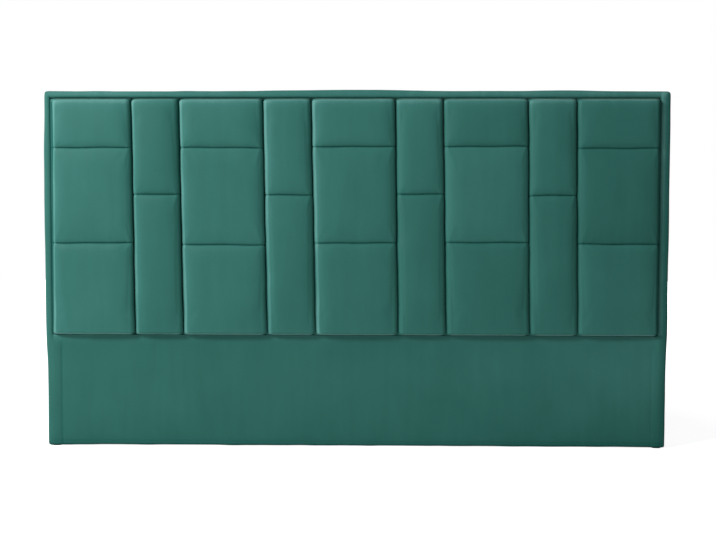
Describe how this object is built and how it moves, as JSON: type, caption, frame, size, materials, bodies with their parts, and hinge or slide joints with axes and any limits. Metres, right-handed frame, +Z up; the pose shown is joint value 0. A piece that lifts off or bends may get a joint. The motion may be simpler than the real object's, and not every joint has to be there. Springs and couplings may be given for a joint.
{
  "type": "headboard",
  "caption": "Floor-standing upholstered headboard: velvet strips, wide and narrow in turn, padded and seamed into patches, over a plain lower panel.",
  "frame": {"origin": "on the floor, under the middle of the width and of the depth", "axes": "+X to the viewer's right, +Y from the padded front to the back, +Z up"},
  "size_m": [2, 0.1192, 1.148],
  "materials": {
    "velvet": "short-pile velvet in deep green-blue, with a pale sheen along its edges",
    "timber": "planed pine, unfinished",
    "plywood": "thin poplar plywood, unfinished",
    "foam": "pale polyurethane upholstery foam",
    "zinc_steel": "zinc-plated steel",
    "staple_steel": "bright galvanised wire",
    "dust_cloth": "black non-woven lining cloth, matt",
    "glide_plastic": "black nylon, matt"
  },
  "bodies": {
    "root": {"base_cover": "velvet", "strip_cover_1": "velvet", "strip_cover_2": "velvet", "strip_cover_3": "velvet", "strip_cover_4": "velvet", "strip_cover_5": "velvet", "strip_cover_6": "velvet", "strip_cover_7": "velvet", "strip_cover_8": "velvet", "strip_cover_9": "velvet", "left_stile": "timber", "right_stile": "timber", "top_rail": "timber", "middle_rail": "timber", "bottom_rail": "timber", "left_strut": "timber", "centre_strut": "timber", "right_strut": "timber", "corner_blocks": "timber", "left_border_batten": "timber", "right_border_batten": "timber", "top_border_batten": "timber", "face_board": "plywood", "strip_board_1": "plywood", "strip_board_2": "plywood", "strip_board_3": "plywood", "strip_board_4": "plywood", "strip_board_5": "plywood", "strip_board_6": "plywood", "strip_board_7": "plywood", "strip_board_8": "plywood", "strip_board_9": "plywood", "left_edge_foam": "foam", "right_edge_foam": "foam", "top_edge_foam": "foam", "lower_foam": "foam", "strip_foam_1": "foam", "strip_foam_2": "foam", "strip_foam_3": "foam", "strip_foam_4": "foam", "strip_foam_5": "foam", "strip_foam_6": "foam", "strip_foam_7": "foam", "strip_foam_8": "foam", "strip_foam_9": "foam", "strip_screws": "zinc_steel", "frame_screws": "zinc_steel", "face_board_nails": "zinc_steel", "glide_nails": "zinc_steel", "bolt_inserts": "zinc_steel", "cover_staples": "staple_steel", "dust_cover_staples": "staple_steel", "dust_cover": "dust_cloth", "floor_glides": "glide_plastic"}
  },
  "joints": []
}
